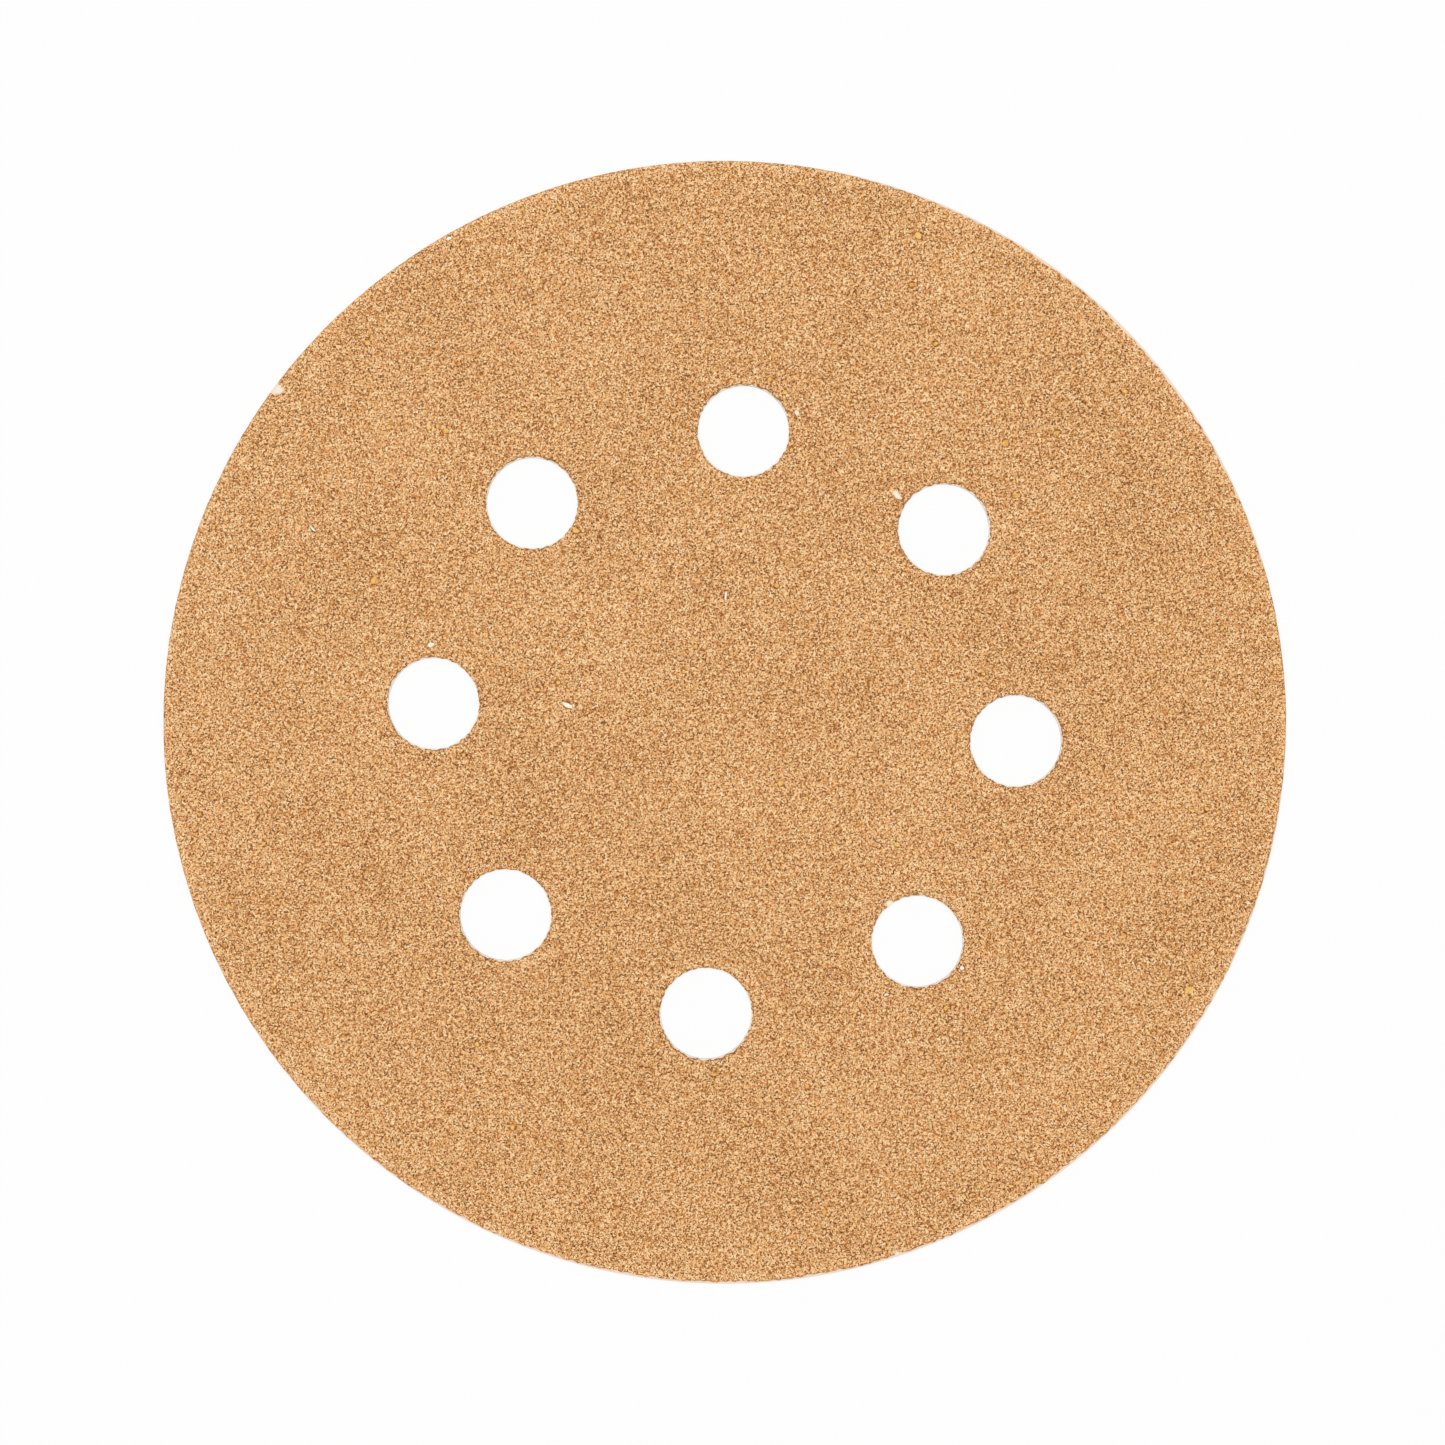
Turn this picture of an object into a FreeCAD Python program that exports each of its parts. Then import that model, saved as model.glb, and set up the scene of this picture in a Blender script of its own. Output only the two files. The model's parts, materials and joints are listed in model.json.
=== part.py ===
import FreeCAD, Part
import math
import os
import Sketcher

# A sanding disc that lies flat with its abrasive side up. It is punched from a laminate of three sheets:
# loop fabric below, paper in the middle and the abrasive coat on top.
# The origin is the centre of the fabric's lower face. +Z is the disc's axis and points to the abrasive side,
# and +X runs through the middle of a dust hole. Lengths are in millimetres and angles in degrees.

doc = FreeCAD.newDocument("sanding_disc")

# Driving sizes: the alias, its value and what it measures
SIZES = [
    ("disc_diameter", 125, "outside diameter of the punched disc"),
    ("hole_ring_diameter", 65, "circle through the middles of the dust holes"),
    ("hole_diameter", 10, "each dust hole"),
    ("hole_count", 8, "dust holes, evenly spaced"),
    ("loop_thickness", 0.8, "loop fabric, pile included"),
    ("paper_thickness", 0.25, "paper"),
    ("coat_thickness", 0.45, "grain and resin together, to the highest tips"),
    ("edge_chip_angle", 147.1, "bare spot at the rim: its place round the disc"),
    ("edge_chip_width", 1.5, "the same, along the rim"),
    ("edge_chip_depth", 1.2, "the same, inwards from the rim"),
    ("edge_nick_angle", -68.3, "smaller bare spot at the rim: its place round the disc"),
    ("edge_nick_width", 0.8, "the same, along the rim"),
    ("edge_nick_depth", 0.9, "the same, inwards from the rim"),
    ("hole_chip_hole", 7, "bare spot at a dust hole's edge: which hole, counted from +X"),
    ("hole_chip_angle", 129.9, "the same: its direction from the middle of that hole"),
    ("hole_chip_width", 1.0, "the same, along the hole's edge"),
    ("hole_chip_depth", 0.7, "the same, outwards from the hole's edge"),
    ("fleck_hole", 1, "bare spot beside a dust hole: which hole, counted from +X"),
    ("fleck_angle", 147.4, "the same: its direction from the middle of that hole"),
    ("fleck_land", 1.5, "the same, from the hole's edge to its own middle"),
    ("fleck_turn", -18, "the same: how its length lies"),
    ("fleck_length", 1.45, "the same, along itself"),
    ("fleck_width", 0.75, "the same, across itself"),
]

sheet = doc.addObject("Spreadsheet::Sheet", "sizes")
for row, (alias, value, note) in enumerate(SIZES, start=1):
    sheet.set(f"A{row}", note)
    sheet.set(f"B{row}", str(value))
    sheet.setAlias(f"B{row}", alias)
doc.recompute()


def origin_feature(body, role):
    """The plane or axis of a body's own origin that has that role."""
    return next(f for f in body.Origin.OriginFeatures if f.Role == role)


def flat_sketch(body, name):
    """An empty sketch on the lower face's plane of a sheet."""
    sketch = body.newObject("Sketcher::SketchObject", name)
    sketch.AttachmentSupport = (origin_feature(body, "XY_Plane"), [""])
    sketch.MapMode = "FlatFace"
    return sketch


def bind(sketch, constraint, label, expression):
    """Adds a constraint, names it and ties its value to the sheet of sizes."""
    index = sketch.addConstraint(constraint)
    sketch.renameConstraint(index, label)
    sketch.setExpression(f"Constraints.{label}", expression)


def cut(body, name, sketch):
    """Cuts a sketch right through a sheet, upwards from its lower face."""
    pocket = body.newObject("PartDesign::Pocket", name)
    pocket.Profile = sketch
    pocket.Type = "ThroughAll"
    pocket.Reversed = True
    return pocket


# One sheet of the laminate: a round blank with its ring of dust holes
def punched_sheet(label, thickness, height):
    body = doc.addObject("PartDesign::Body", f"{label}_body")
    body.Label = label
    body.setExpression(".Placement.Base.z", height)

    outline = flat_sketch(body, f"{label}_outline")
    outline.addGeometry(Part.Circle(FreeCAD.Vector(), FreeCAD.Vector(0, 0, 1), sheet.disc_diameter / 2))
    outline.addConstraint(Sketcher.Constraint("Coincident", 0, 3, -1, 1))
    bind(outline, Sketcher.Constraint("Diameter", 0, sheet.disc_diameter), "across", "sizes.disc_diameter")

    blank = body.newObject("PartDesign::Pad", f"{label}_blank")
    blank.Profile = outline
    blank.setExpression("Length", thickness)

    circle = flat_sketch(body, f"{label}_hole_circle")
    middle = FreeCAD.Vector(sheet.hole_ring_diameter / 2, 0, 0)
    circle.addGeometry(Part.Circle(middle, FreeCAD.Vector(0, 0, 1), sheet.hole_diameter / 2))
    circle.addConstraint(Sketcher.Constraint("PointOnObject", 0, 3, -1))
    bind(circle, Sketcher.Constraint("DistanceX", -1, 1, 0, 3, middle.x), "out", "sizes.hole_ring_diameter / 2")
    bind(circle, Sketcher.Constraint("Diameter", 0, sheet.hole_diameter), "across", "sizes.hole_diameter")

    hole = cut(body, f"{label}_hole", circle)
    ring = body.newObject("PartDesign::PolarPattern", f"{label}_hole_ring")
    ring.Originals = [hole]
    ring.Axis = (origin_feature(body, "Z_Axis"), [""])
    ring.Angle = 360
    ring.setExpression("Occurrences", "sizes.hole_count")
    body.Tip = ring
    return body


# A spot where the grain has come away down to the paper. Its outline is a list of corners, each a share of the
# spot's size along its own X and Y. The spot's own origin lies at x, y and its X axis is turned from the disc's.
def bare_spot(body, name, outline, along, across, x, y, turn):
    spot = flat_sketch(body, name)
    spot.setExpression(".AttachmentOffset.Base.x", x)
    spot.setExpression(".AttachmentOffset.Base.y", y)
    spot.setExpression(".AttachmentOffset.Rotation.Angle", turn)

    corners = [FreeCAD.Vector(*shares, 0) for shares in outline]
    for index, corner in enumerate(corners):
        spot.addGeometry(Part.LineSegment(corner, corners[(index + 1) % len(corners)]))
    for index, corner in enumerate(corners):
        spot.addConstraint(Sketcher.Constraint("Coincident", index, 2, (index + 1) % len(corners), 1))
        right = Sketcher.Constraint("DistanceX", -1, 1, index, 1, corner.x)
        bind(spot, right, f"right_{index}", f"{along} * ({corner.x})")
        up = Sketcher.Constraint("DistanceY", -1, 1, index, 1, corner.y)
        bind(spot, up, f"up_{index}", f"{across} * ({corner.y})")

    body.Tip = cut(body, f"{name}_cut", spot)


def from_centre(radius, angle):
    """The x and y, as expressions, of a point at that radius and angle from the disc's axis."""
    return f"({radius}) * cos({angle})", f"({radius}) * sin({angle})"


# A bare spot that is open to the disc's rim: its X axis points outwards, from the spot's inner end
def rim_spot(body, name, outline):
    x, y = from_centre(f"sizes.disc_diameter / 2 - sizes.{name}_depth", f"sizes.{name}_angle")
    bare_spot(body, name, outline, f"sizes.{name}_depth", f"sizes.{name}_width", x, y, f"sizes.{name}_angle")


# A bare spot at or near a dust hole, which keeps its distance from that hole's edge
def hole_spot(body, name, outline, land, along, across, turn):
    hole_x, hole_y = from_centre("sizes.hole_ring_diameter / 2", f"360 / sizes.hole_count * sizes.{name}_hole")
    out_x, out_y = from_centre(f"sizes.hole_diameter / 2 + {land}", f"sizes.{name}_angle")
    bare_spot(body, name, outline, along, across, f"{hole_x} + {out_x}", f"{hole_y} + {out_y}", turn)


loop_backing = punched_sheet("loop_backing", "sizes.loop_thickness", "0")
paper_backing = punched_sheet("paper_backing", "sizes.paper_thickness", "sizes.loop_thickness")
abrasive_coat = punched_sheet(
    "abrasive_coat", "sizes.coat_thickness", "sizes.loop_thickness + sizes.paper_thickness"
)

# The coat's bare spots. A share above 1 runs on past the rim or the hole's edge, so that the spot is open there.
rim_spot(
    abrasive_coat,
    "edge_chip",
    [(0.04, -0.32), (0.28, -0.5), (1.25, -0.44), (1.25, 0.5), (0.5, 0.42), (0.14, 0.16)],
)
rim_spot(
    abrasive_coat,
    "edge_nick",
    [(0.06, -0.15), (0.45, -0.5), (1.25, -0.38), (1.25, 0.46), (0.3, 0.38)],
)
hole_spot(
    abrasive_coat,
    "hole_chip",
    [(0.05, -0.2), (0.32, -0.5), (1.3, -0.4), (1.3, 0.48), (0.4, 0.45), (0.12, 0.22)],
    "sizes.hole_chip_depth",
    "sizes.hole_chip_depth",
    "sizes.hole_chip_width",
    "sizes.hole_chip_angle + 180",
)
hole_spot(
    abrasive_coat,
    "fleck",
    [
        (-0.5, -0.12), (-0.2, -0.2), (0.1, -0.5), (0.42, -0.46), (0.5, -0.16),
        (0.24, 0.02), (0.06, 0.42), (-0.22, 0.5), (-0.46, 0.4),
    ],
    "sizes.fleck_land",
    "sizes.fleck_length",
    "sizes.fleck_width",
    "sizes.fleck_turn",
)

doc.recompute()

# Nothing is written unless every object is sound and every cut has taken material away
for item in doc.Objects:
    if "Invalid" in item.State or "Error" in item.State:
        raise RuntimeError(f"{item.Label} did not build: {item.State}")

sheets = [loop_backing, paper_backing, abrasive_coat]
for body in sheets:
    if body.Shape.isNull() or not body.Shape.isValid():
        raise RuntimeError(f"{body.Label} has no valid shape")
    if len(body.Shape.Solids) != 1:
        raise RuntimeError(f"{body.Label} fell into {len(body.Shape.Solids)} solids")
    left = math.inf
    for feature in body.Group:
        if feature.isDerivedFrom("PartDesign::Feature"):
            if feature.Shape.Volume >= left:
                raise RuntimeError(f"{feature.Name} took nothing away from {body.Label}")
            left = feature.Shape.Volume

os.makedirs("parts", exist_ok=True)
for body in sheets:
    body.Shape.exportStep(os.path.join("parts", f"{body.Label}.step"))
    print(f"{body.Label}: {body.Shape.Volume:.1f} cubic mm, top at z = {body.Shape.BoundBox.ZMax:.2f}")
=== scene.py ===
import json
import math

import bmesh
import bpy
import numpy as np
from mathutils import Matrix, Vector, noise
from mathutils.bvhtree import BVHTree


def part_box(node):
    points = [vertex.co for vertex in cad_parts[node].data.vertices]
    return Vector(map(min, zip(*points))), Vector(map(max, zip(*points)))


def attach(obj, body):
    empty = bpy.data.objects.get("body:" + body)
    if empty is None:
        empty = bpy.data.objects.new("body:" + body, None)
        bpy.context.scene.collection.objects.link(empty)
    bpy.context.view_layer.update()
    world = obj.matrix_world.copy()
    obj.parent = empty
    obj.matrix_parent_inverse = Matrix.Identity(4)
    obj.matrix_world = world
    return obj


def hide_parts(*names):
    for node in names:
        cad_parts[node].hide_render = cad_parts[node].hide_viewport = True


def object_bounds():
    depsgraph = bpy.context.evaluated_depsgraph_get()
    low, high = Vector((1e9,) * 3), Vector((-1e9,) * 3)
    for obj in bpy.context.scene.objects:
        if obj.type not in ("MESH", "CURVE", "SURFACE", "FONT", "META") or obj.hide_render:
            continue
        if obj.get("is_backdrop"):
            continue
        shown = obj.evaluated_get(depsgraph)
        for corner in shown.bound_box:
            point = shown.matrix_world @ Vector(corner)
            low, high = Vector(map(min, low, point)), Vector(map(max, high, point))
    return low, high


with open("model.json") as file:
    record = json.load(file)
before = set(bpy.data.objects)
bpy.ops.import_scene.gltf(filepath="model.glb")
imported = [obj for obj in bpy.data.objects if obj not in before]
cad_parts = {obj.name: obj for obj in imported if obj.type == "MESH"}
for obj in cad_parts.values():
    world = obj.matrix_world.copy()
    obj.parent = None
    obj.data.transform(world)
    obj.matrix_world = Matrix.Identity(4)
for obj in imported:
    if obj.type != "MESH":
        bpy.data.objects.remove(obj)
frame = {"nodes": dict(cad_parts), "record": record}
cad_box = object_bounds()

# Loop fabric
# A warp-knitted polyester cloth, bonded to the back of the paper over its whole face. Its knitted ground is
# a thin sheet. The loops below it and the nap of brushed filaments are what the pad's hooks catch and what
# the disc lies on.
MM = 0.001
DISC_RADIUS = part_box("loop_backing")[1].x
HOLES = next(mount for mount in frame["record"]["mounts"] if mount["name"] == "dust_holes")["dims"]
HOLE_RADIUS = HOLES["hole_r_mm"] * MM
PUNCHED_WIDE = 0.05 * MM  # how much the punch leaves the dust holes wider than their nominal radius
HOLE_CENTRES = [
    Vector((math.cos(turn), math.sin(turn))) * (HOLES["pcd_mm"] / 2 * MM)
    for turn in (2 * math.pi * number / HOLES["count"] for number in range(HOLES["count"]))
]
SAME_PLACE = 0.001 * MM  # points closer than this are one point
AT_CUT = 0.06 * MM  # points this close to a cut circle belong to it
GROUND_THICKNESS = 0.5 * MM
WALE = 0.65 * MM  # one column of stitches to the next
COURSE = 0.6 * MM  # one row of stitches to the next
LOOP_STEP = 2  # stitches from one raised loop to the next
LOOP_SEED = 5
LOOP_MARGIN = 0.35 * MM  # how far the loops stay inside the cut edges
STITCH_SHAKE = 0.1 * MM  # how far the stitches stray from their rows and columns
YARN_RADIUS = 0.05 * MM
HAIR_WIDTH = 0.07 * MM
HAIR_COUNT = 17000
HAIR_MARGIN = 0.1 * MM  # how far the hairs inside the rim stay inside the cut edges
RIM_HAIRS = 3000  # of them hang at the rim
RIM_HAIR_DEPTH = 0.4  # how far in from the cut those hang, at most, in millimetres
PILE_UNEVEN = 0.06  # how far a loop's or hair's corner is moved, as a share of its size
BAKE_WIDTH = 2.04 * DISC_RADIUS  # what the map that the export is baked through spans
BAKE_CORNER = 0.14  # the share of that map left for the faces that look away
SOUND_RIM = 0.15  # how crumbled the rim counts where it is sound
CRUMBLED_STRETCHES = ((49, 22), (-71, 52))  # the middle and half the length of each, in degrees
FRAY = 0.16 * MM  # how far fibres reach past the cut where the rim has crumbled
FULL_TURN = 6.3  # radians, rounded up


class Wire:
    """An output in a material's nodes, on which sums are written with the usual signs."""

    def __init__(self, finish, socket):
        self.finish = finish
        self.socket = socket

    def __add__(self, other):
        return self.finish.maths("ADD", self, other)

    __radd__ = __add__

    def __sub__(self, other):
        return self.finish.maths("SUBTRACT", self, other)

    def __rsub__(self, other):
        return self.finish.maths("SUBTRACT", other, self)

    def __mul__(self, other):
        return self.finish.maths("MULTIPLY", self, other)

    __rmul__ = __mul__


class Finish:
    """A material, or the world, whose shader is built up node by node."""

    def __init__(self, owner):
        self.owner = owner
        self.owner.use_nodes = True
        self.tree = self.owner.node_tree
        self.tree.nodes.clear()

    def node(self, kind, settings=None, sockets=None, output=0):
        """Adds a node, sets it up, fills its sockets with values or links, and gives one of its outputs."""
        node = self.tree.nodes.new(kind)
        for name, value in (settings or {}).items():
            if name == "stops":
                self.set_stops(node.color_ramp, value)
            else:
                setattr(node, name, value)
        for name, value in (sockets or {}).items():
            if isinstance(value, Wire):
                self.tree.links.new(value.socket, node.inputs[name])
            else:
                node.inputs[name].default_value = value
        return Wire(self, node.outputs[output])

    def set_stops(self, ramp, stops):
        while len(ramp.elements) < len(stops):
            ramp.elements.new(1)
        for element, (position, colour) in zip(ramp.elements, stops):
            element.position = position
            element.color = colour

    def maths(self, operation, *terms):
        return self.node("ShaderNodeMath", {"operation": operation}, dict(enumerate(terms)))

    def place(self):
        return self.node("ShaderNodeTexCoord", output="Object")

    def part(self, place, axis):
        """The X, Y or Z of a place."""
        return self.node("ShaderNodeSeparateXYZ", {}, {"Vector": place}, output=axis)

    def noise(self, place, size, detail=2, roughness=0.5):
        """Noise from 0 to 1 whose patches are about that size."""
        settings = {"noise_dimensions": "3D", "normalize": True}
        sockets = {"Vector": place, "Scale": 1 / size, "Detail": detail, "Roughness": roughness}
        return self.node("ShaderNodeTexNoise", settings, sockets)

    def share(self, value, low, high):
        """How far a value is on its way from low to high, from 0 to 1."""
        return self.node("ShaderNodeMapRange", {}, {"Value": value, "From Min": low, "From Max": high})

    def coloured(self, amount, stops):
        """The colour that stands at that amount between a ramp's stops."""
        return self.node("ShaderNodeValToRGB", {"stops": stops}, {"Fac": amount})

    def bump(self, height, depth):
        return self.node("ShaderNodeBump", {}, {"Height": height, "Distance": depth, "Strength": 1.0})

    def finished(self, **sockets):
        """Ends the material in one Principled shader, with those sockets, and gives the material."""
        sockets = {name.replace("_", " "): value for name, value in sockets.items()}
        return self.ended(self.node("ShaderNodeBsdfPrincipled", {}, sockets))

    def ended(self, shader):
        kind = "World" if isinstance(self.owner, bpy.types.World) else "Material"
        end = self.tree.nodes.new(f"ShaderNodeOutput{kind}")
        self.tree.links.new(shader.socket, end.inputs["Surface"])
        return self.owner


def screen(red, green, blue):
    """A colour read off a screen, from 0 to 255, as the linear colour that a shader takes."""
    shares = (red / 255, green / 255, blue / 255)
    return [(c / 12.92 if c < 0.04045 else ((c + 0.055) / 1.055) ** 2.4) for c in shares] + [1.0]


def punched(node, low, high, rim=DISC_RADIUS, hole_radius=HOLE_RADIUS + PUNCHED_WIDE):
    """A sheet between two heights with a CAD sheet's outline. Its cut edges get more corners, and each is
    moved to a radius, or to what a function of its place gives."""
    sheet = bmesh.new()
    sheet.from_mesh(frame["nodes"][node].data)
    bmesh.ops.remove_doubles(sheet, verts=sheet.verts, dist=SAME_PLACE)
    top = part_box(node)[1].z - SAME_PLACE
    rest = [face for face in sheet.faces if min(vert.co.z for vert in face.verts) < top]
    bmesh.ops.delete(sheet, geom=rest, context="FACES")
    inner = [edge for edge in sheet.edges if not edge.is_boundary]
    bmesh.ops.delete(sheet, geom=sheet.faces[:], context="FACES_ONLY")
    bmesh.ops.delete(sheet, geom=inner, context="EDGES")

    circles = [(Vector((0, 0)), DISC_RADIUS, rim)]
    circles += [(hole, HOLE_RADIUS, hole_radius) for hole in HOLE_CENTRES]
    for centre, radius, wanted in circles:
        def at_cut(vert):
            return abs((vert.co.xy - centre).length - radius) < AT_CUT

        arcs = [edge for edge in sheet.edges if all(map(at_cut, edge.verts))]
        bmesh.ops.subdivide_edges(sheet, edges=arcs, cuts=5)
        for vert in filter(at_cut, sheet.verts):
            out = (vert.co.xy - centre).normalized()
            vert.co.xy = centre + out * (wanted(*vert.co.xy) if callable(wanted) else wanted)
    for vert in sheet.verts:
        vert.co.z = low

    bmesh.ops.triangle_fill(sheet, edges=sheet.edges[:], use_beauty=True, normal=(0, 0, -1))
    raised = bmesh.ops.extrude_face_region(sheet, geom=sheet.faces[:], use_keep_orig=True)["geom"]
    upper = [part for part in raised if isinstance(part, bmesh.types.BMVert)]
    bmesh.ops.translate(sheet, verts=upper, vec=(0, 0, high - low))
    bmesh.ops.recalc_face_normals(sheet, faces=sheet.faces)
    bmesh.ops.triangulate(sheet, faces=sheet.faces)
    return sheet


def shaped(name, shape, material):
    """An object made of a bmesh, or of an array of points and one of triangles."""
    mesh = bpy.data.meshes.new(name)
    if isinstance(shape, bmesh.types.BMesh):
        shape.to_mesh(mesh)
        shape.free()
    else:
        mesh.from_pydata(shape[0], [], shape[1])
    mesh.materials.append(material)
    obj = bpy.data.objects.new(name, mesh)
    bpy.context.scene.collection.objects.link(obj)
    return obj


def piece(name, shape, material):
    """A piece that rides on the disc's one body."""
    obj = shaped(name, shape, material)
    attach(obj, "root")
    return obj


def rotations(first, second, angles):
    """Matrices that turn the first axis towards the second, one for each angle."""
    matrices = np.zeros((len(angles), 3, 3)) + np.eye(3)
    matrices[:, first, first] = matrices[:, second, second] = np.cos(angles)
    matrices[:, second, first] = np.sin(angles)
    matrices[:, first, second] = -np.sin(angles)
    return matrices


def turned(spins, leans, turns):
    """Matrices for forms that each spin on their own axis, lean over, then turn about the disc's axis."""
    x, y, z = range(3)
    return rotations(x, y, turns) @ rotations(z, x, leans) @ rotations(x, y, spins)


def scattered(draw, form, tops, sizes, matrices, uneven, bottom):
    """Copies of a form, each with its highest corner at its own place, as points and triangles. Each has its
    own size and turn, each of its corners is moved by up to that share of the size, and one that would reach
    below the bottom is squeezed until it doesn't."""
    bmesh.ops.triangulate(form, faces=form.faces)
    corners = np.array([vert.co for vert in form.verts])
    triangles = np.array([[vert.index for vert in face.verts] for face in form.faces])
    points = (corners + draw.uniform(-uneven, uneven, (len(tops), len(corners), 3))) * sizes[:, None]
    points = np.einsum("nij,nkj->nki", matrices, points)
    points[:, :, 2] -= points[:, :, 2].max(axis=1, keepdims=True)
    deep = -points[:, :, 2].min(axis=1)
    points[:, :, 2] *= np.minimum(1, (tops[:, 2] - bottom) / deep)[:, None]
    points += tops[:, None]
    firsts = np.arange(len(tops)) * len(corners)
    return points.reshape(-1, 3), (triangles + firsts[:, None, None]).reshape(-1, 3)


def die_cut(points, rim=DISC_RADIUS, hole_radius=HOLE_RADIUS, short=0):
    """Presses what hangs over the rim or into a dust hole back to the cut, or to a little short of it."""
    flat = points[:, :2]
    limit = (rim(*flat.T) if callable(rim) else rim) - short
    flat *= np.minimum(1, limit / np.maximum(np.hypot(*flat.T), MM))[:, None]
    inner = (hole_radius(*flat.T) if callable(hole_radius) else hole_radius) + short
    for hole in HOLE_CENTRES:
        away = flat - np.array(hole)
        distance = np.maximum(np.hypot(*away.T), MM)
        flat[:] = np.array(hole) + away * np.maximum(1, inner / distance)[:, None]
    return points


def seen_flat(obj, side):
    """Gives a piece the UV map that its export is baked through: the piece from above (side 1) or below
    (side -1), with the faces that look the other way shrunk into a free corner."""
    mesh = obj.data
    corners = np.empty(len(mesh.loops), int)
    mesh.loops.foreach_get("vertex_index", corners)
    points = np.empty(len(mesh.vertices) * 3)
    mesh.vertices.foreach_get("co", points)
    normals = np.empty(len(mesh.polygons) * 3)
    mesh.polygons.foreach_get("normal", normals)
    flat = 0.5 + points.reshape(-1, 3)[corners, :2] / BAKE_WIDTH
    flat[np.repeat(normals[2::3] * side < 0, 3)] *= BAKE_CORNER
    mesh.uv_layers.new(name="OFBake").data.foreach_set("uv", flat.ravel())


fabric_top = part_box("loop_backing")[1].z
ground_bottom = fabric_top - GROUND_THICKNESS
pile_top = ground_bottom + YARN_RADIUS


def crumbled(angle):
    """How far the rim has crumbled in that direction, from 0 to 1: along two stretches of it."""
    worn = 0
    for middle, half in np.radians(CRUMBLED_STRETCHES):
        away = np.abs((angle - middle + math.pi) % (2 * math.pi) - math.pi) / half
        worn = worn + np.clip(1.4 - away, 0, 1) ** 0.5
    return np.clip(worn * (1 - SOUND_RIM) + SOUND_RIM, 0, 1)


def frayed(x, y):
    """The radius that the fabric's fibres reach."""
    return DISC_RADIUS + FRAY * (crumbled(np.arctan2(y, x)) - SOUND_RIM)


def yarn_loop():
    """An arch of yarn, of unit width, that hangs from its two feet."""
    loop = bmesh.new()
    bmesh.ops.create_circle(loop, segments=3, radius=YARN_RADIUS / WALE)
    bmesh.ops.translate(loop, verts=loop.verts, vec=(0.5, 0, 0))
    bmesh.ops.spin(
        loop, geom=loop.verts[:] + loop.edges[:], cent=(0, 0, 0), axis=(0, 1, 0), angle=math.pi, steps=3,
        use_merge=False, use_duplicate=False,
    )
    bmesh.ops.holes_fill(loop, edges=loop.edges, sides=3)
    bmesh.ops.recalc_face_normals(loop, faces=loop.faces)
    return loop


def filament():
    """A fine pointed hair of unit length and width."""
    hair = bmesh.new()
    bmesh.ops.create_cone(hair, cap_ends=True, cap_tris=False, segments=3, radius1=0.5, radius2=0, depth=1)
    return hair


def fabric_finish():
    """Slanted stitch legs in columns, under a fuzz of brushed fibres. The colour grows paler towards the
    pad: a painted highlight for the light that the fibres catch.
    """
    finish = Finish(bpy.data.materials.new("brushed_loop_polyester"))
    place = finish.place()
    fibre = finish.noise(place, 0.07 * MM, detail=4, roughness=0.65)
    fuzz = finish.noise(place, 0.45 * MM, detail=3, roughness=0.6)
    patch = finish.noise(place, 5 * MM)
    along, across, height = (finish.part(place, axis) for axis in "XYZ")
    # Painted highlight: the fibres are made paler the nearer they reach the pad, for the light they catch,
    # and the ground between them stays darker
    brushed = finish.share(height, ground_bottom, ground_bottom - 0.2 * MM)
    leg = finish.maths("PINGPONG", along, WALE / 2)
    row = (across + leg * 0.8 + (fuzz - 0.5) * 0.2 * MM) * (2 * math.pi / COURSE)
    stitch = finish.maths("SINE", row) * 0.5 + 0.5
    knit = stitch * finish.share(leg, 0, 0.12 * MM)
    colour = finish.coloured(
        fibre * 0.35 + fuzz * 0.25 + patch * 0.15 + knit * 0.25 + brushed * 0.35,
        [(0.2, screen(192, 174, 156)), (0.5, screen(222, 208, 190)), (0.9, screen(250, 244, 236))],
    )
    relief = knit * 0.4 + fibre * 0.4 + fuzz * 0.3
    return finish.finished(
        Base_Color=colour, Roughness=0.8 + fibre * 0.15, Sheen_Weight=0.3,
        Normal=finish.bump(relief, 0.12 * MM),
    )


fabric = fabric_finish()
ground_shape = punched("loop_backing", ground_bottom, fabric_top)
ground = piece("knitted_ground", ground_shape, fabric)
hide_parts("loop_backing")


def pile(draw, name, form, places, heights, sizes, matrices):
    """A piece of many loops or hairs, which hang from the ground and lie no lower than the pad's face."""
    tops = np.column_stack([places, heights])
    points, triangles = scattered(draw, form, tops, sizes, matrices, PILE_UNEVEN, 0)
    obj = piece(name, (die_cut(points, frayed), triangles), fabric)
    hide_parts("loop_backing")
    seen_flat(obj, -1)
    return obj


def inside(places, margin):
    """The places that lie at least that far inside the cut edges."""
    kept = np.hypot(*places.T) < DISC_RADIUS - margin
    for hole in HOLE_CENTRES:
        kept &= np.hypot(*(places - np.array(hole)).T) > HOLE_RADIUS + margin
    return places[kept]


loop_draw = np.random.default_rng(LOOP_SEED)
columns = np.arange(-DISC_RADIUS, DISC_RADIUS, LOOP_STEP * WALE)
rows = np.arange(-DISC_RADIUS, DISC_RADIUS, LOOP_STEP * COURSE)
stitches = np.array([(x, y + COURSE * (number % 2)) for number, x in enumerate(columns) for y in rows])
stitches += loop_draw.normal(0, STITCH_SHAKE, stitches.shape)
around = loop_draw.uniform(0, 2 * math.pi, RIM_HAIRS)
rim_radii = DISC_RADIUS - loop_draw.uniform(0, RIM_HAIR_DEPTH, (RIM_HAIRS, 1)) * MM
strewn = loop_draw.uniform(-DISC_RADIUS, DISC_RADIUS, (HAIR_COUNT * 3 // 2, 2))

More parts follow.
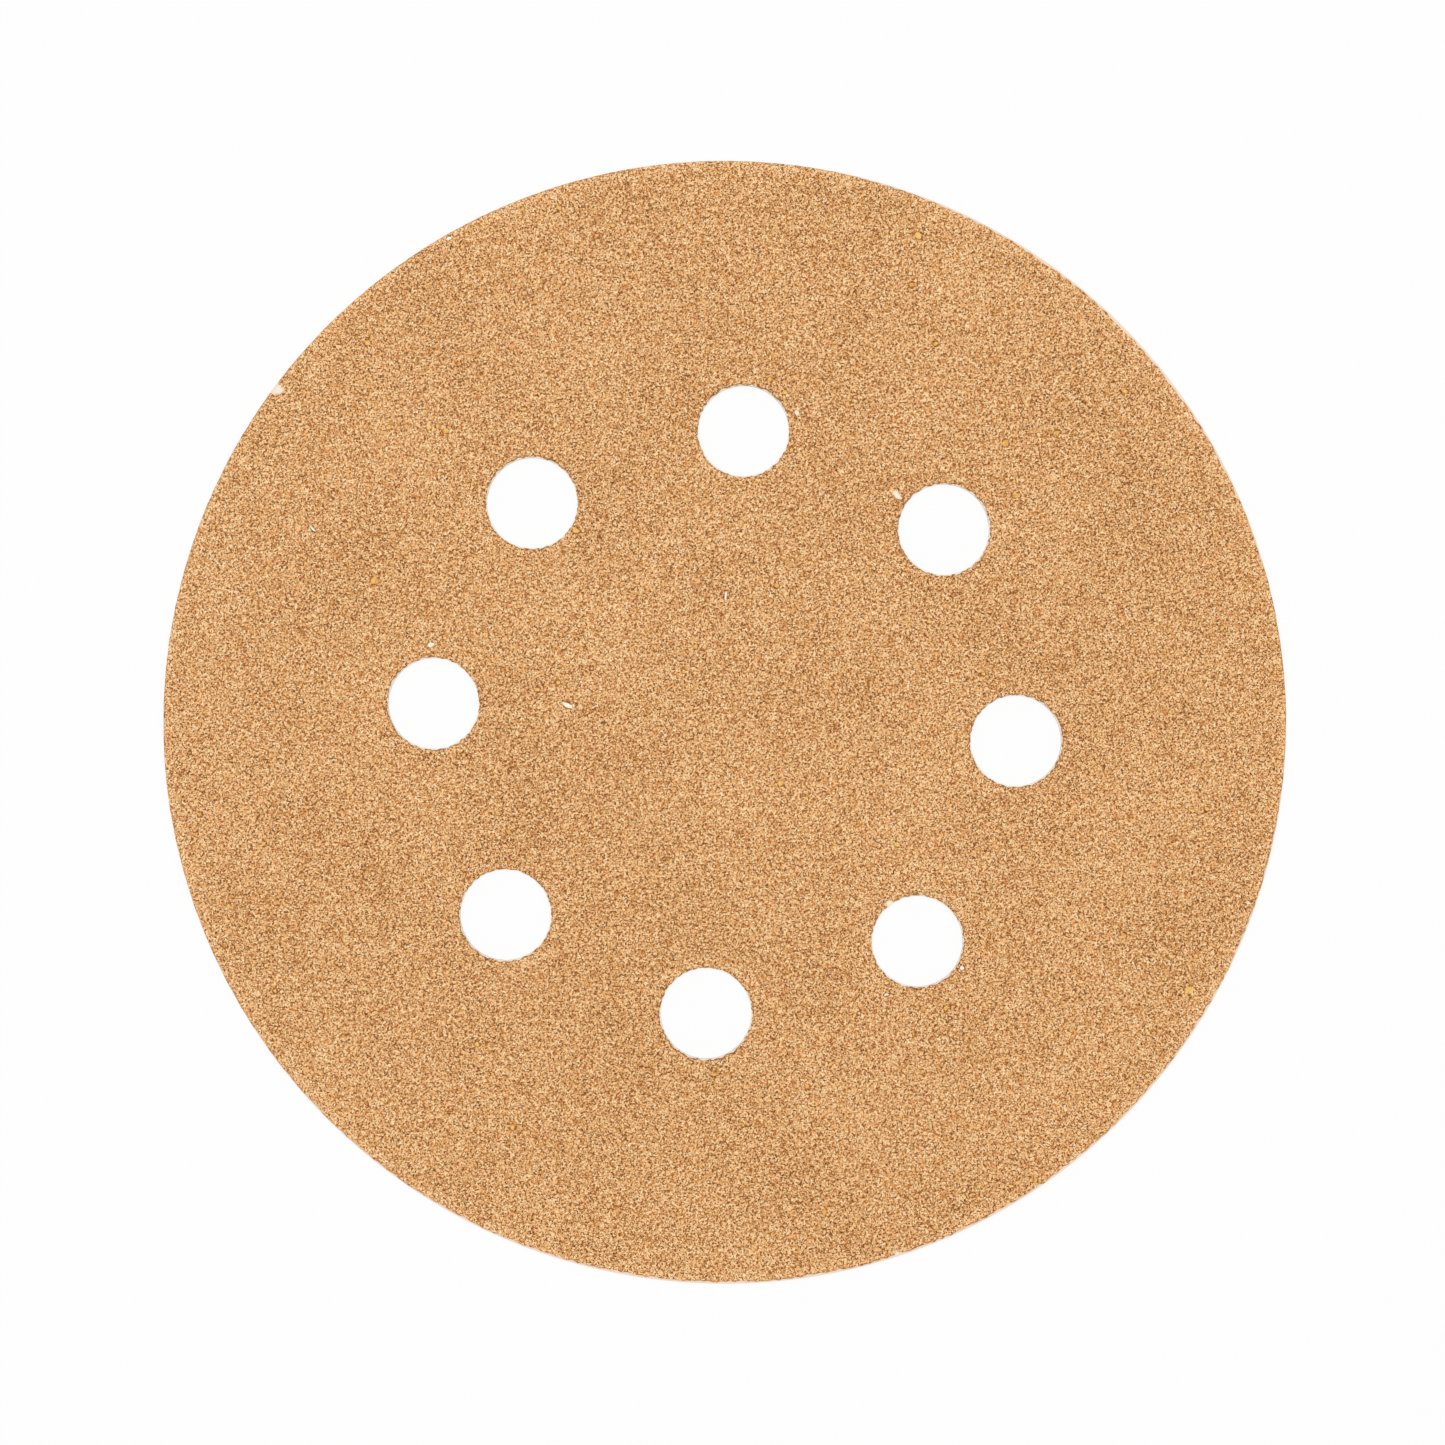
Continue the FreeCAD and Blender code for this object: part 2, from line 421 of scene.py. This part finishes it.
stitches = inside(stitches, LOOP_MARGIN)
count = len(stitches)
loop_widths = loop_draw.uniform(0.8, 1.4, count)
loop_sizes = np.column_stack([loop_widths, np.full(count, 1.1), loop_draw.uniform(0.6, 1, count)]) * WALE
loop_turns = turned(
    loop_draw.normal(0, 0.3, count), loop_draw.uniform(-0.9, 0.9, count),
    loop_draw.normal(math.pi / 2, 0.5, count),
)
loops = pile(
    loop_draw, "raised_loops", yarn_loop(), stitches, np.full(count, pile_top), loop_sizes, loop_turns
)


def hair_values(rim_range, range_inside):
    """A value for each hair, from one range for those at the rim and from another for the rest."""
    at_rim = loop_draw.uniform(*rim_range, RIM_HAIRS)
    return np.concatenate([at_rim, loop_draw.uniform(*range_inside, HAIR_COUNT - RIM_HAIRS)])


rim_places = rim_radii * np.column_stack([np.cos(around), np.sin(around)])
hair_places = np.vstack([rim_places, inside(strewn, HAIR_MARGIN)])[:HAIR_COUNT]
hair_tops = np.full(HAIR_COUNT, pile_top)
hair_tops[:RIM_HAIRS] = loop_draw.uniform(ground_bottom, fabric_top - 0.1 * MM, RIM_HAIRS)
# Leans and directions are in radians, and lengths in millimetres
hair_leans = hair_values((1.5, 2.8), (1.25, 1.9))
hair_directions = hair_values((-1.2, 1.2), (0, FULL_TURN))
hair_directions[:RIM_HAIRS] += around
hair_lengths = hair_values((0.3, 1.3), (0.9, 2)) * MM
hairs = pile(
    loop_draw, "brushed_filaments", filament(), hair_places, hair_tops,
    np.column_stack([np.full((HAIR_COUNT, 2), HAIR_WIDTH), hair_lengths]),
    turned(loop_draw.uniform(0, FULL_TURN, HAIR_COUNT), hair_leans, hair_directions),
)

CUT_AREA = math.pi * (DISC_RADIUS**2 - HOLES["count"] * HOLE_RADIUS**2)

# Paper
# A heavy cream paper that carries the grain. It is bonded between the coat and the loop fabric and shows
# only at the cut edges and where the grain has come away.

# Where the grain tore away, the paper's top fibres came up with it: each bare spot's middle on the disc, how
# far the raised fibres reach across and how high they stand, all in millimetres
TORN_SPOTS = {
    "rim, upper left": (-51.97, 33.62, 1.9, 0.12),
    "rim, below": (22.94, -57.65, 1.1, 0.1),
    "hole, below": (19.55, -18.88, 1.1, 0.15),
    "beside a hole, above": (17.5, 26.48, 2.0, 0.36),
}
TUFT = 0.15 * MM  # how wide the tufts of raised fibres are
TUFT_DEPTH = 0.02 * MM  # how far below the paper's face the raised spots begin


def blended(finish, kind, amount, first, second):
    """Two colours mixed, the way that the kind names."""
    settings = {"data_type": "RGBA", "blend_type": kind}
    return finish.node("ShaderNodeMix", settings, {"Factor": amount, "A": first, "B": second}, "Result")


def near_rim(finish, place, width):
    """1 at the disc's rim, and less inwards, down to 0 at that distance."""
    flat = finish.node("ShaderNodeVectorMath", {"operation": "MULTIPLY"}, {0: place, 1: (1, 1, 0)})
    radius = finish.node("ShaderNodeVectorMath", {"operation": "LENGTH"}, {0: flat}, "Value")
    return finish.share(radius, DISC_RADIUS - width, DISC_RADIUS)


def paper_finish():
    """Pressed fibres in layers, a little stained by resin at the rim."""
    finish = Finish(bpy.data.materials.new("cream_paper"))
    place = finish.place()
    layered = finish.node("ShaderNodeMapping", {}, {"Vector": place, "Scale": (1, 3, 8)})
    fibre = finish.noise(layered, 0.3 * MM, detail=4, roughness=0.65)
    cloud = finish.noise(place, 2.5 * MM)
    plain = finish.coloured(
        fibre * 0.65 + cloud * 0.35,
        [(0.25, screen(244, 233, 205)), (0.5, screen(252, 245, 224)), (0.8, screen(255, 251, 238))],
    )
    stain = near_rim(finish, place, 0.45 * MM) * (0.5 + fibre)
    return finish.finished(
        Base_Color=blended(finish, "MIX", stain, plain, screen(248, 224, 202)),
        Roughness=0.75 + fibre * 0.2, Normal=finish.bump(fibre, 0.03 * MM),
    )


paper_bottom, paper_top = (corner.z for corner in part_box("paper_backing"))
paper_shape = punched("paper_backing", paper_bottom, paper_top)
for x, y, across, height in TORN_SPOTS.values():
    reach = across / 2 * MM
    spot = bmesh.ops.create_grid(paper_shape, x_segments=16, y_segments=16, size=reach)["verts"]
    raised = np.array([vert.co for vert in spot])
    share = np.maximum(0, 1 - np.hypot(*raised[:, :2].T) ** 2 / reach**2) ** 0.5
    tufted = [0.75 + 0.25 * noise.noise(vert.co / TUFT) for vert in spot]
    raised[:, 2] = paper_top - TUFT_DEPTH + share * height * MM * np.array(tufted)
    raised[:, :2] += np.array((x, y)) * MM
    for vert, place in zip(spot, die_cut(raised)):
        vert.co = place
bmesh.ops.holes_fill(paper_shape, edges=paper_shape.edges)
bmesh.ops.recalc_face_normals(paper_shape, faces=paper_shape.faces)
paper = piece("cream_paper_sheet", paper_shape, paper_finish())
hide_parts("paper_backing")

# Resin bed
# The make coat: a thin brown layer of phenolic resin, spread on the paper to hold the feet of the grains.
# It shows only down between them, and it has broken away with the grain at the bare spots.
BED_THICKNESS = 0.22 * MM
FRINGE = 0.33 * MM  # how far the coat stops short of the paper's edge where the rim has crumbled
HOLE_FRINGE = 0.22 * MM  # how far it stops short of the paper's edge at the dust holes, at most
SPECK = 0.14 * MM  # how wide the specks of colour are
GAP_SHADE_TINT = screen(255, 246, 226)  # painted shade: how much darker and redder the colour is made at the bottom of the gaps


def nibbled(x, y):
    """How much of the coat's edge has broken off there, from 0 to 1."""
    across, up = x / MM, y / MM
    coarse = np.sin(5 * across + 3 * up + 2 * np.sin(2 * up))
    fine = np.sin(11 * up - 8 * across + 3 * np.sin(3 * across))
    return 0.5 + 0.28 * coarse + 0.22 * fine


def coat_hole(x, y):
    """The radius at which the coat begins round a dust hole."""
    return HOLE_RADIUS + PUNCHED_WIDE + HOLE_FRINGE * nibbled(x, y)


def coat_rim(x, y):
    """The radius at which the coat ends at the disc's rim."""
    angle = np.arctan2(y, x)
    ragged = 0.7 + 0.18 * np.sin(37 * angle + 1) + 0.12 * np.sin(89 * angle + 2) + 0.1 * np.sin(211 * angle)
    bitten = nibbled(x, y)
    return DISC_RADIUS - FRINGE * (crumbled(angle) * (0.6 * ragged + 0.5 * bitten) + 0.25 * bitten)


coat_bottom, coat_top = (corner.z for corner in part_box("abrasive_coat"))
bed_top = coat_bottom + BED_THICKNESS


def grain_finish(name, stops, specks=0.75):
    """Specks and broken facets in colours from dark to light, paler towards the tops and darker and redder
    down in the gaps: partly the resin lying deeper there, and partly painted highlight and shade.
    """
    finish = Finish(bpy.data.materials.new(name))
    place = finish.place()
    # The crystals' attribute: each grain's own random tone, plus a painted glint that differs from facet to
    # facet
    shade = finish.node("ShaderNodeAttribute", {"attribute_name": "shade"}, output="Fac")
    # How high a point stands in the coat: it makes the tops paler and the gaps darker, partly for the deeper
    # resin low down and partly as painted highlight and shade
    raised = finish.share(finish.part(place, "Z"), bed_top, coat_top - 0.1 * MM)
    mottle = finish.noise(place, 3 * MM, detail=3, roughness=0.6)
    patch = finish.noise(place, 16 * MM)
    grit = finish.noise(place, 0.1 * MM, roughness=0.6)
    cell, away = (
        finish.node("ShaderNodeTexVoronoi", {}, {"Vector": place, "Scale": 1 / SPECK}, output=result)
        for result in ("Color", "Distance")
    )
    speck = finish.node("ShaderNodeSeparateColor", {}, {"Color": cell})
    tone = raised * 0.2 + (shade - 0.5) * 0.32 + (speck - 0.5) * specks + (0.5 - away) * 0.5 + 0.455
    cloudy = (mottle - 0.5) * 0.08 + (patch - 0.5) * 0.24
    plain = finish.coloured(tone + cloudy + near_rim(finish, place, 1.5 * MM) * 0.14, stops)
    return finish.finished(
        # Painted shade: the colour is tinted darker and redder towards the bottom of the gaps
        Base_Color=blended(finish, "MULTIPLY", 1 - raised, plain, GAP_SHADE_TINT),
        Roughness=0.4 + grit * 0.3, Specular_IOR_Level=0.3, Normal=finish.bump(grit, 0.01 * MM),
    )


# Lying at the bottom of the gaps, the make coat takes the whole of the painted shade tint
make_coat = grain_finish(
    "brown_make_coat",
    [
        (0.0, screen(106, 58, 6)),
        (0.3, screen(167, 109, 42)),
        (0.6, screen(209, 149, 80)),
        (0.9, screen(235, 178, 110)),
    ],
    0.7,
)
bed_shape = punched("abrasive_coat", coat_bottom, bed_top, coat_rim, coat_hole)
bed_surface = BVHTree.FromBMesh(bed_shape)
bed = piece("resin_bed", bed_shape, make_coat)
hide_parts("abrasive_coat")

# Stray grains
# A few crystals of other kinds among the rest, wedged between them and held by the same resin: clear amber
# ones, and pale ones that broke and lost their resin. They're laid first, and the others leave them room.
GRAIN_SEED = 11
GRAIN_PITCH = 0.272 * MM
TIP_SPREAD = 0.14 * MM  # how far below the highest tops the lowest ones end
TIP_BETA = (1.3, 3)  # the beta spread that the tops' depths follow, which leaves most of them high
STRAY_ROOM = 0.08 * MM  # how far the middles of other grains stay from a stray one's edge
PHOTO_TURN = math.radians(3.68)  # from the photograph's own X axis to the disc's
# Each pale chip's place across and up the photograph from the disc's middle, its length and width, all in
# millimetres, and the angle at which it lies
PALE_CHIPS = {
    "round chip": (-32.7, 8.6, 0.75, 0.7, 0),
    "long flake": (-17.5, 1.9, 1.5, 0.5, -22),
    "yellowish sliver": (0.1, 14.0, 1.1, 0.28, 84),
    "drop": (8.0, 34.4, 0.7, 0.52, 110),
    "faint sliver": (-45.8, 21.5, 0.8, 0.32, 130),
    "upper dot": (26.4, -27.3, 0.55, 0.5, 60),
    "lower dot": (18.0, -30.3, 0.6, 0.4, 10),
    "upper rim fleck": (-30.7, 53.8, 0.6, 0.4, 30),
    "right rim fleck": (58.3, -20.1, 0.5, 0.35, -30),
}
# The clearest amber grains, the same way: the place, and how far each is across
AMBER_GRAINS = {
    "far upper left": (-39.7, 42.2, 0.9),
    "upper left": (-31.0, 32.4, 0.8),
    "left": (-39.0, 15.9, 0.9),
    "upper right": (31.2, 31.0, 0.95),
    "far upper right": (44.5, 36.9, 0.85),
    "top": (21.5, 54.2, 1.0),
    "right": (51.7, -29.8, 0.95),
    "beside a hole": (-16.6, 21.4, 0.9),
    "above the top hole": (5.0, 38.1, 0.8),
    "top hole's edge": (6.7, 36.7, 0.7),
    "right of the top hole": (13.7, 35.4, 0.8),
    "below the drop": (7.5, 30.3, 0.6),
    "right rim": (53.6, -9.6, 0.7),
    "right rim, outer": (55.0, -10.0, 0.6),
}
AMBER_COUNT = 70  # in all
AMBER_ACROSS = (0.45, 0.75)  # what the others are across, in millimetres
SLAB_WIDTH = 1.1  # a slab's width before it gets its size
SITE_SHAKE = 0.24  # how far a grain strays from its site, as a share of the pitch
FOOT_GAP = 0.01 * MM  # from the paper up to the lowest crystals
RAGGED = 0.09 * MM  # how far short of the coat's edges the crystals are cut, at most
PALE_UNEVEN = 0.16  # how far a pale chip's corner is moved, as a share of its size
AMBER_UNEVEN = 0.2  # the same for an amber grain


def on_disc(seen):
    """Places in the photograph, in millimetres from the disc's middle, as places on the disc."""
    along = np.array([math.cos(PHOTO_TURN), math.sin(PHOTO_TURN)])
    across = np.array([-math.sin(PHOTO_TURN), math.cos(PHOTO_TURN)])
    return (seen[:, :1] * along + seen[:, 1:2] * across) * MM


def slab():
    """A flat crystal with six sides."""
    form = bmesh.new()
    bmesh.ops.create_cone(
        form, cap_ends=True, cap_tris=False, segments=6, radius1=SLAB_WIDTH / 2, radius2=0.5, depth=0.8
    )
    return form


def crystals(draw, name, form, places, sizes, matrices, uneven, finish):
    """A piece of many crystals, whose highest corners end a little below the coat's top."""
    crystal = form()
    tops = np.column_stack([places, coat_top - draw.beta(*TIP_BETA, len(places)) * TIP_SPREAD])
    bottom = coat_bottom + FOOT_GAP
    points, triangles = scattered(draw, crystal, tops, sizes, matrices, uneven, bottom)
    die_cut(points, coat_rim, coat_hole, draw.uniform(0, RAGGED, len(points)))
    obj = piece(name, (points, triangles), finish)
    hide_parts("abrasive_coat")
    seen_flat(obj, 1)
    # Each grain gets its own random tone, and each facet a random brightness on top: a painted glint for the
    # light each facet catches
    tones_and_glints = np.repeat(draw.random(len(places)), len(crystal.faces)) * 0.4
    tones_and_glints += draw.random(len(triangles)) * 0.6
    obj.data.attributes.new("shade", "FLOAT", "FACE").data.foreach_set("value", tones_and_glints)


# Every grain's site: a close-packed grid over the bed, shaken and put in any order
grain_draw = np.random.default_rng(GRAIN_SEED)
rows = np.arange(-DISC_RADIUS, DISC_RADIUS, GRAIN_PITCH * math.sin(math.pi / 3))
columns = np.arange(-DISC_RADIUS, DISC_RADIUS, GRAIN_PITCH)
sites = np.array([(x + GRAIN_PITCH / 2 * (number % 2), y) for number, y in enumerate(rows) for x in columns])
sites += grain_draw.uniform(-SITE_SHAKE, SITE_SHAKE, sites.shape) * GRAIN_PITCH
down = Vector((0, 0, -1))
on_bed = [bed_surface.ray_cast(Vector((x, y, coat_top)), down)[0] is not None for x, y in sites]
sites = sites[np.array(on_bed)]
grain_draw.shuffle(sites)

pale = np.array(list(PALE_CHIPS.values()))
pale_places = on_disc(pale)
pale_sizes = np.column_stack([pale[:, 2], pale[:, 3], pale[:, 3] * 0.7]) * MM / SLAB_WIDTH
amber = np.array(list(AMBER_GRAINS.values()))
others = AMBER_COUNT - len(amber)
amber_places = np.vstack([on_disc(amber), sites[:others]])
amber_across = np.concatenate([amber[:, 2], grain_draw.uniform(*AMBER_ACROSS, others)]) * MM / SLAB_WIDTH
sites = sites[others:]
strays = [(place, size[:2].mean() / 2) for place, size in zip(pale_places, pale_sizes)]
strays += [(place, size / 2) for place, size in zip(amber_places, amber_across)]
for place, reach in strays:
    sites = sites[np.hypot(*(sites - place).T) > reach + STRAY_ROOM]

pale_finish = grain_finish(
    "pale_broken_grain",
    [(0.1, screen(232, 206, 164)), (0.4, screen(252, 238, 208)), (0.8, screen(255, 252, 242))],
)
amber_finish = grain_finish(
    "clear_amber_grain",
    [(0.0, screen(212, 150, 62)), (0.5, screen(236, 184, 94)), (0.9, screen(250, 208, 124))],
)
pale_turns = turned(
    np.radians(pale[:, 4]) + PHOTO_TURN, grain_draw.uniform(0, 0.2, len(pale)), np.zeros(len(pale))
)
crystals(grain_draw, "pale_chips", slab, pale_places, pale_sizes, pale_turns, PALE_UNEVEN, pale_finish)
amber_widths = amber_across * grain_draw.uniform(0.6, 1, AMBER_COUNT)
amber_sizes = np.column_stack([amber_across, amber_widths, amber_across * 0.6])
amber_turns = turned(
    grain_draw.uniform(0, FULL_TURN, AMBER_COUNT), grain_draw.uniform(0, 0.25, AMBER_COUNT),
    grain_draw.uniform(0, FULL_TURN, AMBER_COUNT),
)
crystals(
    grain_draw, "amber_grains", slab, amber_places, amber_sizes, amber_turns, AMBER_UNEVEN, amber_finish
)

# Ordinary grains
# Nearly all of the coat: broken crystals of aluminium oxide, thrown on to the wet resin by static charge and
# packed close. A size coat of tan resin wets them all and lies deepest in the narrow gaps, where their
# colour is made darker and redder, partly for that resin and partly as painted shade.
GRAIN_LENGTH = (0.36 * MM, 0.48 * MM)
FLAT_SHARE = 0.85  # of the grains lie with a face up, and the rest lie anyhow
FLAT_LEAN = 0.78  # the least that a grain with a face up leans over, as a share of half a turn
GRAIN_UNEVEN = 0.12  # how far a grain's corner is moved, as a share of its size


def spike():
    """A crystal with three sides and a point."""
    form = bmesh.new()
    bmesh.ops.create_cone(
        form, cap_ends=True, cap_tris=False, segments=3, radius1=0.6, radius2=0, depth=0.85
    )
    return form


def block():
    """A stout crystal with eight faces."""
    form = bmesh.new()
    bmesh.ops.create_uvsphere(form, u_segments=4, v_segments=2, radius=0.55)
    return form


tan_finish = grain_finish(
    "tan_sized_grain",
    [
        (0.0, screen(118, 64, 4)),
        (0.15, screen(167, 111, 45)),
        (0.35, screen(219, 161, 97)),
        (0.6, screen(247, 193, 130)),
        (0.85, screen(255, 214, 158)),
        (1.0, screen(255, 229, 182)),
    ],
)
# Each kind's form, its share of the grains, and its width and height as shares of its length
GRAIN_KINDS = {
    "grain_spikes": (spike, 0.24, 0.9, 1.1),
    "grain_shards": (spike, 0.24, 0.7, 0.9),
    "grain_needles": (spike, 0.24, 0.6, 1.1),
    "grain_splinters": (spike, 0.24, 0.8, 0.8),
    "grain_blocks": (block, 0.04, 0.8, 0.9),
}
total = len(sites)
for name, (form, share, width, height) in GRAIN_KINDS.items():
    chosen, sites = np.split(sites, [min(round(share * total), len(sites))])
    count = len(chosen)
    long = grain_draw.uniform(*GRAIN_LENGTH, count)
    sizes = np.column_stack([long, long * width, long * height])
    is_flat = grain_draw.random(count) < FLAT_SHARE
    leans = np.where(is_flat, grain_draw.uniform(FLAT_LEAN, 1, count), grain_draw.random(count)) * math.pi
    spins, turns = grain_draw.uniform(0, FULL_TURN, (2, count))
    matrices = turned(spins, leans, turns)
    crystals(grain_draw, name, form, chosen, sizes, matrices, GRAIN_UNEVEN, tan_finish)

# Floor, light and camera
# The disc lies on a white table in a white room, under a wide soft lamp, and is seen from straight above.
# The table looks white wherever the disc doesn't shade it.
FRAME_WIDTH = 160.7 * MM  # what the picture's width spans at the coat
LENS = 100
SENSOR = 36
OFF_CENTRE = (0.247 * MM, 0.032 * MM)  # how far right of and above the picture's middle the disc's is
LAMP_PLACE = Vector((-0.08, 0.12, 1.0))
TABLE_REACH = 3  # from its middle to each side
TABLE_WHITE = 0.9  # the share of what is seen of the table that is plain white, and the rest takes shadow


def background_seen(finish):
    """1 where the camera sees the surface, straight or in a mirror or glass, and 0 for other light."""
    rays = ("Camera", "Glossy", "Transmission")
    seen, mirrored, through = (
        finish.node("ShaderNodeLightPath", output=f"Is {ray} Ray") for ray in rays
    )
    return finish.maths("MAXIMUM", finish.maths("MAXIMUM", seen, mirrored), through)


def mixed(finish, share, lit, white):
    """Ends a material or the world: white by that share, and for the rest as other light meets it."""
    return finish.ended(finish.node("ShaderNodeMixShader", {}, {0: share, 1: lit, 2: white}))


table_finish = Finish(bpy.data.materials.new("white_table"))
matt = table_finish.node("ShaderNodeBsdfDiffuse", {}, {"Color": (0.9, 0.9, 0.9, 1)})
white = table_finish.node("ShaderNodeEmission", {}, {"Color": (1, 1, 1, 1), "Strength": 1})
table = bmesh.new()
bmesh.ops.create_grid(table, x_segments=1, y_segments=1, size=TABLE_REACH)
table_white = mixed(table_finish, background_seen(table_finish) * TABLE_WHITE, matt, white)
floor = shaped("table", table, table_white)
floor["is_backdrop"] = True

room = Finish(bpy.data.worlds.new("soft_room"))
dim = room.node("ShaderNodeBackground", {}, {"Color": (1, 1, 1, 1), "Strength": 0.5})
white = room.node("ShaderNodeBackground", {}, {"Color": (1, 1, 1, 1), "Strength": 1.0})
bpy.context.scene.world = mixed(room, background_seen(room), dim, white)

softbox = bpy.data.lights.new("softbox", "AREA")
softbox.shape = "SQUARE"
softbox.size = 0.5
softbox.energy = 5.25
lamp = bpy.data.objects.new("softbox", softbox)
lamp.location = LAMP_PLACE
lamp.rotation_euler = (-LAMP_PLACE).to_track_quat("-Z", "Y").to_euler()
bpy.context.scene.collection.objects.link(lamp)

lens = bpy.data.cameras.new("camera")
lens.lens = LENS
lens.sensor_width = SENSOR
camera = bpy.data.objects.new("camera", lens)
right = Vector((math.cos(PHOTO_TURN), math.sin(PHOTO_TURN), 0))
up = Vector((-math.sin(PHOTO_TURN), math.cos(PHOTO_TURN), 0))
distance = FRAME_WIDTH * LENS / SENSOR
camera.location = -OFF_CENTRE[0] * right - OFF_CENTRE[1] * up + Vector((0, 0, coat_top + distance))
camera.rotation_euler = (0, 0, PHOTO_TURN)
bpy.context.scene.collection.objects.link(camera)
bpy.context.scene.camera = camera
bpy.context.scene.view_settings.view_transform = "Standard"

sizes = {
    "cad": [list(corner) for corner in cad_box],
    "visual": [list(corner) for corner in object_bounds()],
}
